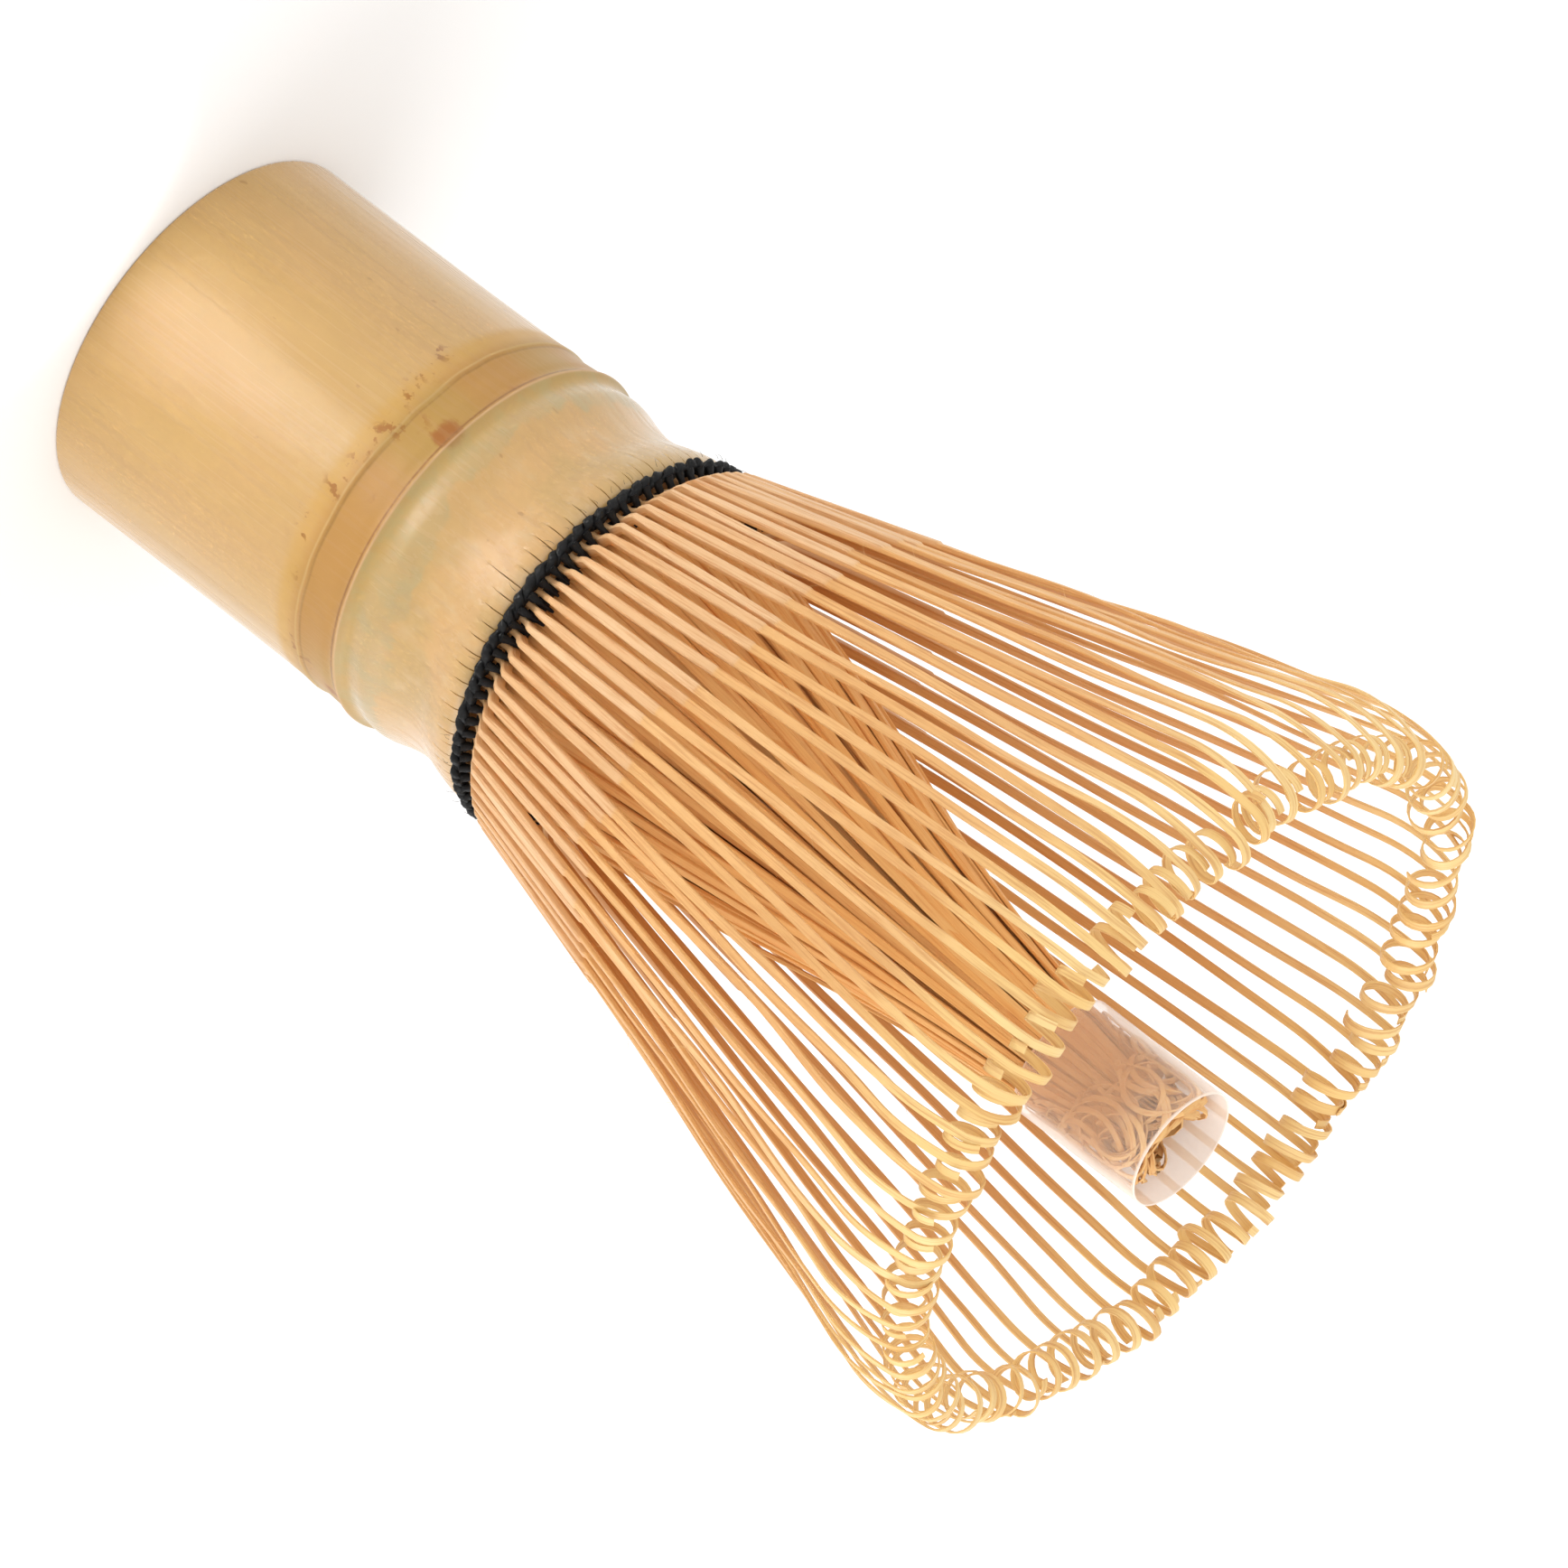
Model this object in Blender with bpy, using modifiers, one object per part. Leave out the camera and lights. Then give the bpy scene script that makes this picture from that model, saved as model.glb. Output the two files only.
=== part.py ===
"""A bamboo tea whisk standing on its handle with the tines up.

Metres, +Z up. The origin is the centre of the handle's flat end.
The culm's wall is split into wedges above the binding thread. Each wedge has an outer and an inner layer,
and each layer is cut into tines. The outer tines flare and curl over, and the inner tines meet in a short
clear tube.
"""

import math

import bmesh
import bpy

# Running gap between pieces that touch
GAP = 0.0003
# Edges sharper than this stay crisp
SHARP_ANGLE = math.radians(45)

# Culm and handle
HANDLE_RADIUS = 0.0159
HANDLE_HEIGHT = 0.0426
END_ROUNDING = 0.0008
BORE_RADIUS = 0.0119
UPPER_BORE_RADIUS = 0.0122
GROOVE_HEIGHT = 0.0268
GROOVE_HALF_WIDTH = 0.0010
GROOVE_DEPTH = 0.0002
NODE_HEIGHT = 0.0308
NODE_HALF_WIDTH = 0.0006
NODE_RADIUS = 0.0163
WAIST_HEIGHT = 0.0370
WAIST_HALF_WIDTH = 0.0010
WAIST_RADIUS = 0.0151
NECK_RADIUS = 0.0160
DIAPHRAGM_HEIGHT = 0.0282
DIAPHRAGM_THICKNESS = 0.0022
DIAPHRAGM_FLAT_RADIUS = 0.0083
DIAPHRAGM_FILLET = 0.0016
END_ROUNDING_STEPS = 3
HANDLE_FACETS = 40
SKIN_WAVE = 0.0001

# Splits in the wall
WEDGES = 16
TINES_PER_LAYER = 5
WEDGE_ANGLE = 2 * math.pi / WEDGES
TINE_ANGLE = WEDGE_ANGLE / TINES_PER_LAYER

# Roots of the tines, under the thread
ROOT_BOTTOM = HANDLE_HEIGHT + GAP
ROOT_TOP = 0.0448

# Outer tines
OUTER_ROOT_RADIUS = 0.01525
FLARE_RADIUS = 0.0169
FLARE_HEIGHT = 0.0464
SHAVED_HEIGHT = 0.0612
# The crown is an oval: its radius at the shoulder, along X and along Y
SHOULDER_RADII = (0.0314, 0.02735)
SHOULDER_HEIGHT = 0.0957
BEND_RADIUS = 0.015
BEND_TURN = math.radians(30)
BEND_STEPS = 3
CURL_RADIUS = 0.00215
CURL_TURN = math.radians(265)
CURL_STEPS = 5
OUTER_ROOT_WIDTH = 0.00085
OUTER_TIP_WIDTH = 0.00055
OUTER_ROOT_THICKNESS = 0.0008
OUTER_TIP_SHARE = 0.45
# Rows of the comb, from the root up, that keep the root's width
BROAD_ROWS = 4
# How close a group's tips draw together, as a share of their even spacing
TIP_GATHER = 0.95

# Inner tines
INNER_ROOT_RADIUS = 0.0141
INNER_THICKNESS = 0.0007
INNER_TIP_SHARE = 0.5
INNER_ROOT_WIDTH = 0.00075
INNER_TIP_WIDTH = 0.00034
INNER_MIDDLE_SHARE = 0.55
BUNDLE_OFFSET = 0.0038
BUNDLE_RADII = (0.0042, 0.0029)
BUNDLE_SPREADS = (0.83, 1.25)
BUNDLE_BOTTOM = 0.0944
BUNDLE_TOP = 0.1040

# Hinge line on which a group of outer tines flexes
HINGE_RADIUS = 0.01485
HINGE_HEIGHT = 0.0440

# Thread
THREAD_RADIUS = 0.00045
THREAD_RING_RADIUS = 0.0161
THREAD_RING_SIDES = 6
THREAD_HEIGHTS = {"thread_round_lower": 0.04339, "thread_round_upper": 0.04461}

# Clear tube
TUBE_RADIUS = 0.00515
TUBE_WALL = 0.0004
TUBE_BOTTOM = 0.0946
TUBE_LENGTH = 0.0122
TUBE_FACETS = 32


def clear_scene():
    for obj in list(bpy.data.objects):
        bpy.data.objects.remove(obj, do_unlink=True)


def make_material(name, colour, roughness, alpha=1.0):
    material = bpy.data.materials.new(name)
    material.use_nodes = True
    shader = material.node_tree.nodes["Principled BSDF"]
    shader.inputs["Base Color"].default_value = (*colour, 1.0)
    shader.inputs["Roughness"].default_value = roughness
    shader.inputs["Alpha"].default_value = alpha
    return material


def add_object(name, mesh, material, collection):
    obj = bpy.data.objects.new(name, mesh)
    if not mesh.materials:
        mesh.materials.append(material)
    collection.objects.link(obj)
    return obj


def smooth(mesh):
    mesh.shade_smooth()
    mesh.set_sharp_from_angle(angle=SHARP_ANGLE)


def handle_profile():
    """(radius, height) from the diaphragm's top over the neck, down the skin and up the bore."""
    diaphragm_top = DIAPHRAGM_HEIGHT + DIAPHRAGM_THICKNESS
    points = [
        (0.0, diaphragm_top),
        (DIAPHRAGM_FLAT_RADIUS, diaphragm_top),
        (UPPER_BORE_RADIUS, diaphragm_top + DIAPHRAGM_FILLET),
        (UPPER_BORE_RADIUS, HANDLE_HEIGHT),
        (NECK_RADIUS, HANDLE_HEIGHT),
        ((NECK_RADIUS + WAIST_RADIUS) / 2, (HANDLE_HEIGHT + WAIST_HEIGHT) / 2),
        (WAIST_RADIUS, WAIST_HEIGHT + WAIST_HALF_WIDTH),
        (WAIST_RADIUS + SKIN_WAVE, WAIST_HEIGHT - WAIST_HALF_WIDTH),
        (HANDLE_RADIUS - SKIN_WAVE, (NODE_HEIGHT + WAIST_HEIGHT - WAIST_HALF_WIDTH) / 2),
        (NODE_RADIUS - 2 * SKIN_WAVE, NODE_HEIGHT + NODE_HALF_WIDTH),
        (NODE_RADIUS, NODE_HEIGHT),
        (NODE_RADIUS - 2 * SKIN_WAVE, NODE_HEIGHT - NODE_HALF_WIDTH),
        (HANDLE_RADIUS + SKIN_WAVE, GROOVE_HEIGHT + GROOVE_HALF_WIDTH),
        (HANDLE_RADIUS - GROOVE_DEPTH, GROOVE_HEIGHT),
        (HANDLE_RADIUS, GROOVE_HEIGHT - GROOVE_HALF_WIDTH),
        (HANDLE_RADIUS, END_ROUNDING),
    ]
    for step in range(1, END_ROUNDING_STEPS + 1):
        turn = math.pi / 2 * step / END_ROUNDING_STEPS
        radius = HANDLE_RADIUS - END_ROUNDING * (1 - math.cos(turn))
        points.append((radius, END_ROUNDING * (1 - math.sin(turn))))
    points += [
        (BORE_RADIUS, 0.0),
        (BORE_RADIUS, DIAPHRAGM_HEIGHT - DIAPHRAGM_FILLET),
        (DIAPHRAGM_FLAT_RADIUS, DIAPHRAGM_HEIGHT),
        (0.0, DIAPHRAGM_HEIGHT),
    ]
    return points


def make_handle(material, collection):
    mesh = bpy.data.meshes.new("handle")
    points = [(radius, 0.0, height) for radius, height in handle_profile()]
    edges = [(i, i + 1) for i in range(len(points) - 1)]
    mesh.from_pydata(points, edges, [])
    handle = add_object("handle", mesh, material, collection)
    screw = handle.modifiers.new("turned", "SCREW")
    screw.steps = HANDLE_FACETS
    screw.render_steps = HANDLE_FACETS
    screw.use_merge_vertices = True
    screw.merge_threshold = 0.0001
    screw.use_smooth_shade = True
    return handle


def crown_radius(azimuth):
    """Radius of the oval crown at its shoulder."""
    along_x, along_y = SHOULDER_RADII
    return along_x * along_y / math.hypot(along_y * math.cos(azimuth), along_x * math.sin(azimuth))


def arc_points(start, heading, radius, turn, steps):
    """(radius, height) points on an arc that leaves a start point along a heading and turns inwards."""
    centre_across = start[0] - radius * math.sin(heading)
    centre_up = start[1] + radius * math.cos(heading)
    points = []
    for step in range(1, steps + 1):
        angle = heading - math.pi / 2 + turn * step / steps
        points.append((centre_across + radius * math.cos(angle), centre_up + radius * math.sin(angle)))
    return points


def outer_path(azimuth):
    """(radius, height) along the outside of an outer tine, from its root to the end of its curl."""
    start = (FLARE_RADIUS, FLARE_HEIGHT)
    shoulder = (crown_radius(azimuth), SHOULDER_HEIGHT)
    heading = math.atan2(shoulder[1] - start[1], shoulder[0] - start[0])
    shaved_radius = start[0] + (SHAVED_HEIGHT - start[1]) / math.tan(heading)
    points = [
        (OUTER_ROOT_RADIUS, ROOT_BOTTOM),
        (OUTER_ROOT_RADIUS, ROOT_TOP),
        start,
        (shaved_radius, SHAVED_HEIGHT),
        shoulder,
    ]
    points += arc_points(shoulder, heading, BEND_RADIUS, BEND_TURN, BEND_STEPS)
    points += arc_points(points[-1], heading + BEND_TURN, CURL_RADIUS, CURL_TURN, CURL_STEPS)
    return points


def inner_path():
    """(share of the way from root to bundle, height) along an inner tine."""
    return [
        (0.0, ROOT_BOTTOM),
        (0.0, ROOT_TOP),
        (INNER_MIDDLE_SHARE, ROOT_TOP + INNER_MIDDLE_SHARE * (BUNDLE_BOTTOM - ROOT_TOP)),
        (1.0, BUNDLE_BOTTOM),
        (1.0, BUNDLE_TOP),
    ]


def comb_grid(rows):
    """A flat strip of one column per tine and per gap, with the gaps cut out above the root."""
    comb = bmesh.new()
    columns = 2 * TINES_PER_LAYER - 1
    bmesh.ops.create_grid(comb, x_segments=columns, y_segments=rows - 1, size=0.5)
    gaps = []
    for face in comb.faces:
        centre = face.calc_center_median()
        column = int((centre.x + 0.5) * columns)
        row = int((centre.y + 0.5) * (rows - 1))
        if column % 2 and row > 0:
            gaps.append(face)
    bmesh.ops.delete(comb, geom=gaps, context="FACES")
    return comb, columns


def comb_mesh(name, rows, place):
    """A comb whose grid point (tine, side, row) goes to place(tine, side, row). Side is -1 or 1."""
    comb, columns = comb_grid(rows)
    rows_of = {}
    for vert in comb.verts:
        edge = round((vert.co.x + 0.5) * columns)
        row = round((vert.co.y + 0.5) * (rows - 1))
        vert.co = place(edge // 2, 1 if edge % 2 else -1, row)
        rows_of[vert.index] = row
    mesh = bpy.data.meshes.new(name)
    comb.to_mesh(mesh)
    comb.free()
    smooth(mesh)
    return mesh, rows_of


def thicken(obj, rows_of, rows, thickness, tip_share):
    """Gives a comb its thickness, inwards from its skin, thinner towards the tips."""
    taper = obj.vertex_groups.new(name="taper")
    for index, row in rows_of.items():
        taper.add([index], 1 - (row / (rows - 1)), "REPLACE")
    solid = obj.modifiers.new("thickness", "SOLIDIFY")
    solid.thickness = thickness
    solid.offset = -1
    solid.vertex_group = "taper"
    solid.thickness_vertex_group = tip_share


def make_outer_tines(wedge, material, collection):
    azimuth = wedge * WEDGE_ANGLE
    steps = [tine - (TINES_PER_LAYER - 1) / 2 for tine in range(TINES_PER_LAYER)]
    paths = [outer_path(azimuth + step * TINE_ANGLE) for step in steps]
    rows = len(paths[0])

    def place(tine, side, row):
        radius, height = paths[tine][row]
        share = max(0, row - BROAD_ROWS) / (rows - 1 - BROAD_ROWS)
        width = OUTER_ROOT_WIDTH + (OUTER_TIP_WIDTH - OUTER_ROOT_WIDTH) * share
        gather = 1 + (TIP_GATHER - 1) * share
        angle = steps[tine] * TINE_ANGLE * gather
        across = side * width / 2
        return (
            radius * math.cos(angle) - across * math.sin(angle) - HINGE_RADIUS,
            radius * math.sin(angle) + across * math.cos(angle),
            height - HINGE_HEIGHT,
        )

    name = f"outer_tines_{wedge + 1:02d}"
    mesh, rows_of = comb_mesh(name, rows, place)
    tines = add_object(name, mesh, material, collection)
    tines.location = (HINGE_RADIUS * math.cos(azimuth), HINGE_RADIUS * math.sin(azimuth), HINGE_HEIGHT)
    tines.rotation_euler = (0, 0, azimuth)
    thicken(tines, rows_of, rows, OUTER_ROOT_THICKNESS, OUTER_TIP_SHARE)


def make_inner_tines(wedge, material, collection):
    path = inner_path()
    rows = len(path)
    azimuth = wedge * WEDGE_ANGLE

    def place(tine, side, row):
        share, height = path[row]
        # Alternate tines end on an outer and an inner ring, so that all of them fit in the tube.
        ring = tine % 2
        step = tine - (TINES_PER_LAYER - 1) / 2
        radius = INNER_ROOT_RADIUS + (BUNDLE_RADII[ring] - INNER_ROOT_RADIUS) * share
        width = INNER_ROOT_WIDTH + (INNER_TIP_WIDTH - INNER_ROOT_WIDTH) * share
        angle = azimuth + step * TINE_ANGLE * (1 + (BUNDLE_SPREADS[ring] - 1) * share)
        across = side * width / 2
        return (
            radius * math.cos(angle) - across * math.sin(angle) + BUNDLE_OFFSET * share,
            radius * math.sin(angle) + across * math.cos(angle),
            height,
        )

    name = f"inner_tines_{wedge + 1:02d}"
    mesh, rows_of = comb_mesh(name, rows, place)
    tines = add_object(name, mesh, material, collection)
    thicken(tines, rows_of, rows, INNER_THICKNESS, INNER_TIP_SHARE)


def make_thread_round(name, height, material, collection):
    bpy.ops.mesh.primitive_torus_add(
        major_radius=THREAD_RING_RADIUS,
        minor_radius=THREAD_RADIUS,
        major_segments=HANDLE_FACETS,
        minor_segments=THREAD_RING_SIDES,
        location=(0, 0, height),
    )
    ring = bpy.context.object
    ring.name = name
    ring.data.name = name
    ring.data.materials.append(material)
    ring.data.shade_smooth()
    for owner in ring.users_collection:
        owner.objects.unlink(ring)
    collection.objects.link(ring)


def make_tube(material, collection):
    shell = bmesh.new()
    bmesh.ops.create_cone(
        shell,
        cap_ends=False,
        segments=TUBE_FACETS,
        radius1=TUBE_RADIUS,
        radius2=TUBE_RADIUS,
        depth=TUBE_LENGTH,
    )
    mesh = bpy.data.meshes.new("tip_tube")
    shell.to_mesh(mesh)
    shell.free()
    smooth(mesh)
    tube = add_object("tip_tube", mesh, material, collection)
    tube.location = (BUNDLE_OFFSET, 0, TUBE_BOTTOM + TUBE_LENGTH / 2)
    solid = tube.modifiers.new("wall", "SOLIDIFY")
    solid.thickness = TUBE_WALL
    solid.offset = -1


def main():
    clear_scene()
    whisk = bpy.data.collections.new("bamboo_tea_whisk")
    bpy.context.scene.collection.children.link(whisk)
    skin = make_material("bamboo_skin", (0.71, 0.47, 0.24), 0.35)
    outer = make_material("bamboo_outer_tine", (0.74, 0.48, 0.22), 0.45)
    inner = make_material("bamboo_inner_tine", (0.61, 0.34, 0.13), 0.5)
    thread = make_material("black_thread", (0.012, 0.012, 0.016), 0.7)
    plastic = make_material("clear_tube", (0.93, 0.89, 0.86), 0.25, alpha=0.35)

    make_handle(skin, whisk)
    for wedge in range(WEDGES):
        make_outer_tines(wedge, outer, whisk)
        make_inner_tines(wedge, inner, whisk)
    for name, height in THREAD_HEIGHTS.items():
        make_thread_round(name, height, thread, whisk)
    make_tube(plastic, whisk)


main()
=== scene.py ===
"""The looks of a bamboo tea whisk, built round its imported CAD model.

Metres, +Z up. The whisk stands on its handle with the tines up, and its axis is the Z axis.
"""

import math
import random

import bpy
import numpy as np
from mathutils import Matrix, Vector


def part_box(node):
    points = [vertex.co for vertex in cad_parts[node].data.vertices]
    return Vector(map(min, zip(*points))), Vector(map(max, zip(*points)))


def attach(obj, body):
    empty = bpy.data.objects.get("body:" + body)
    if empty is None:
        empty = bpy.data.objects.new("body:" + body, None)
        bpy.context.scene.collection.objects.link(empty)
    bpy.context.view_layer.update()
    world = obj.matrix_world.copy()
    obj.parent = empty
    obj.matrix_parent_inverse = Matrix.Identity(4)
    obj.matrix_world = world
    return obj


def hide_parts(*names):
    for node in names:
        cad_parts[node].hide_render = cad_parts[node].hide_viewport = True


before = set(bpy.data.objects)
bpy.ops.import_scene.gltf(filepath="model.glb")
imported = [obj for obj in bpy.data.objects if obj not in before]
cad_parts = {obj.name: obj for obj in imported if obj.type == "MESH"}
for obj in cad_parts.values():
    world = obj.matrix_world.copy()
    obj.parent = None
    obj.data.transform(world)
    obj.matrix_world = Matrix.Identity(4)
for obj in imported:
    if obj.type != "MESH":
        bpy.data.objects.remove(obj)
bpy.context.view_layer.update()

MM = 0.001
TURN = 2 * math.pi
UPWARDS = np.array((0.0, 0.0, 1.0))
SKIN_BRIGHTNESS = 0.645
TINE_BRIGHTNESS = 0.84

# What the frame says
WEDGES = len([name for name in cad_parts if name.startswith("outer_tines_")])
TINES_PER_WEDGE = 5
TINES = WEDGES * TINES_PER_WEDGE
TINE_ANGLE = TURN / TINES
NODE_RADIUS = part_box("handle")[1].x
REACH_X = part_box("outer_tines_01")[1].x
REACH_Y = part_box(f"outer_tines_{WEDGES // 4 + 1:02d}")[1].y
ROOT_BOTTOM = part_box("outer_tines_01")[0].z
TUBE_LOW, TUBE_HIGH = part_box("tip_tube")
TUBE_CENTRE = (TUBE_LOW + TUBE_HIGH) / 2
TUBE_AXIS = (TUBE_CENTRE.x, TUBE_CENTRE.y, 0)
TUBE_RADIUS = (TUBE_HIGH.y - TUBE_LOW.y) / 2
LOWER_ROUND_LOW, LOWER_ROUND_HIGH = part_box("thread_round_lower")
UPPER_ROUND_LOW, UPPER_ROUND_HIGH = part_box("thread_round_upper")

# Handle
HANDLE_RADIUS = 15.9 * MM
BORE_RADIUS = 11.9 * MM
UPPER_BORE_RADIUS = 12.2 * MM
END_ROUNDING = 0.3 * MM
GROOVE_HEIGHT = 26.8 * MM
NODE_HEIGHT = 30.8 * MM
WAIST_HEIGHT = 37.4 * MM
WAIST_RADIUS = 15.1 * MM
NECK_RADIUS = 16.0 * MM
NECK_HEIGHT = 42.4 * MM
NECK_TOP = 43.8 * MM
DIAPHRAGM_HEIGHT = 28.2 * MM
DIAPHRAGM_THICKNESS = 2.2 * MM
DIAPHRAGM_BULGE = 1.6 * MM
SPLIT_DEPTH = 0.14 * MM
SPLIT_HALF_WIDTH = 0.055 * MM
SHORT_SPLIT = 1.5 * MM
LONG_SPLIT = 3.4 * MM

# The skin's marks, and the painted highlight and shade at the ridge: the height that each one runs from and
# to
NECK_BLEND = (34.0 * MM, 37.0 * MM)
TAN_BAND = (26.0 * MM, 31.1 * MM)
GREEN_BAND = (NODE_HEIGHT - 2.5 * MM, 34.6 * MM)
BROWN_BAND = (28.4 * MM, 30.7 * MM)
SPECK_BAND = (24.4 * MM, 26.6 * MM)
DULL_BAND = (24.4 * MM, 32.0 * MM)
LIP_BAND = (GROOVE_HEIGHT - 0.3 * MM, GROOVE_HEIGHT - 0.12 * MM)
GROOVE_BAND = (GROOVE_HEIGHT + 0.08 * MM, GROOVE_HEIGHT + 0.22 * MM)
# Painted highlight along the ridge's crest, then painted shade in a line on the ridge's underside
RIDGE_HIGHLIGHT_BAND = (NODE_HEIGHT - 0.02 * MM, NODE_HEIGHT + 0.14 * MM)
UNDER_RIDGE_SHADE_BAND = (NODE_HEIGHT - 0.42 * MM, NODE_HEIGHT - 0.18 * MM)
SCAR_AZIMUTH = math.radians(-109)
SCAR_DROP = 0.7 * MM

# Outer tines
ROOT_RADIUS = 15.25 * MM
ROOT_TOP = 44.8 * MM
FLARE_RADIUS = 16.95 * MM
FLARE_HEIGHT = 46.4 * MM
PEEL_HEIGHT = 61.2 * MM
PEEL_THICKNESS = 0.13 * MM
SHOULDER_HEIGHT = 95.7 * MM
SHOULDER_LIFT = 0.9 * MM
BEND_LENGTH = 7.85 * MM
CURL_RADIUS = 2.15 * MM
CURL_TIGHTENING = 0.13
CURL_DRIFT = -1.6 * MM
TIP_HEIGHT = 102 * MM
SHAFT_STATIONS = 25
SPLINTER_STATIONS = (9, 25)
BEND_STATIONS = 8

# Thread
CHAIN_STRAND_RADIUS = 0.37 * MM
CHAIN_HEIGHT = 0.22 * MM
CHAIN_DEPTH = 0.2 * MM
CORE_RADIUS = 14.75 * MM
CORE_STRAND_RADIUS = 0.5 * MM
FUZZ_FIBRES = 60

# Inner tines
INNER_ROOT_RADIUS = 14.1 * MM
BUNDLE_RADII = (4.25 * MM, 3.1 * MM)
BUNDLE_SPREADS = (0.9, 1.2)
INNER_TINES_PER_WEDGE = 8
INNER_ANGLE = TURN / WEDGES / INNER_TINES_PER_WEDGE
LOOP_TOP = 106.7 * MM
RISE_STATIONS = 8

# Tube
TUBE_WALL = 0.14 * MM
TUBE_RIM_HEIGHT = 0.35 * MM
MOUTH_SQUEEZE = 0.03

# Camera
CAMERA_PLACE = (0.0002655, -0.88941, 0.49171)
CAMERA_ELEVATION = math.radians(25.745)
CAMERA_ROLL = math.radians(127.5)
CAMERA_LENS = 301.92
SENSOR_WIDTH = 36


def smoothstep(value, low=0.0, high=1.0):
    share = np.clip((value - low) / (high - low), 0, 1)
    return share * share * (3 - 2 * share)


def srgb(red, green, blue, share=1.0):
    """A linear RGBA colour from sRGB values of 0 to 255, times a share of its brightness."""
    def linear(value):
        value /= 255
        return value / 12.92 if value <= 0.04045 else ((value + 0.055) / 1.055) ** 2.4
    return linear(red) * share, linear(green) * share, linear(blue) * share, 1.0


def skin_colour(red, green, blue):
    """The base colour of culm skin that looks like this sRGB colour under the soft white light."""
    return srgb(red, green, blue, SKIN_BRIGHTNESS)


def wood(red, green, blue):
    """The base colour of a tine that looks like this sRGB colour among its neighbours."""
    return srgb(red, green, blue, TINE_BRIGHTNESS)


# Materials

class Recipe:
    """A node material while it is written. Most methods add nodes and give back an output."""

    def __init__(self, name):
        self.material = bpy.data.materials.new(name)
        self.material.use_nodes = True
        self.tree = self.material.node_tree
        self.shader = self.tree.nodes["Principled BSDF"]

    def node(self, kind, inputs, output=0, **settings):
        made = self.tree.nodes.new(kind)
        for key, value in settings.items():
            setattr(made, key, value)
        for key, value in inputs.items():
            self.feed(made.inputs[key], value)
        return made.outputs[output]

    def feed(self, socket, value):
        if isinstance(value, bpy.types.NodeSocket):
            self.tree.links.new(value, socket)
        else:
            socket.default_value = value

    def set(self, **inputs):
        for key, value in inputs.items():
            self.feed(self.shader.inputs[key.replace("_", " ")], value)

    def place(self):
        return self.node("ShaderNodeTexCoord", {}, "Object")

    def attribute(self, name, output="Fac"):
        return self.node("ShaderNodeAttribute", {}, output, attribute_name=name)

    def height(self):
        return self.node("ShaderNodeSeparateXYZ", {0: self.place()}, "Z")

    def stretched(self, vector, *scale):
        return self.node("ShaderNodeVectorMath", {0: vector, 1: scale}, operation="MULTIPLY")

    def noise(self, vector, scale, detail=3.0, roughness=0.55):
        inputs = {"Vector": vector, "Scale": scale, "Detail": detail, "Roughness": roughness}
        return self.node("ShaderNodeTexNoise", inputs)

    def spread(self, value, low, high, first=0.0, second=1.0):
        """Maps low..high smoothly to first..second."""
        inputs = {"Value": value, "From Min": low, "From Max": high, "To Min": first, "To Max": second}
        return self.node("ShaderNodeMapRange", inputs, interpolation_type="SMOOTHSTEP")

    def math(self, operation, first, second=0.0):
        return self.node("ShaderNodeMath", {0: first, 1: second}, operation=operation)

    def band(self, value, low, high, soft):
        """One between low and high, and nothing outside them, with soft edges."""
        rise = self.spread(value, low - soft, low + soft)
        fall = self.spread(value, high - soft, high + soft, 1.0, 0.0)
        return self.times(rise, fall)

    def times(self, first, second):
        return self.math("MULTIPLY", first, second)

    def moved(self, value, field, length):
        """A value moved by a noise field, by up to half of a length either way."""
        return self.math("ADD", value, self.times(self.math("SUBTRACT", field, 0.5), length))

    def mix(self, share, first, second):
        return self.node("ShaderNodeMix", {0: share, 6: first, 7: second}, 2, data_type="RGBA")

    def tint(self, colour, mask, share, over):
        """A colour with a share of another one over it where the mask is one."""
        return self.mix(self.times(mask, share), colour, over)

    def bump(self, height, strength, distance):
        inputs = {"Height": height, "Strength": strength, "Distance": distance}
        self.set(Normal=self.node("ShaderNodeBump", inputs))


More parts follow.
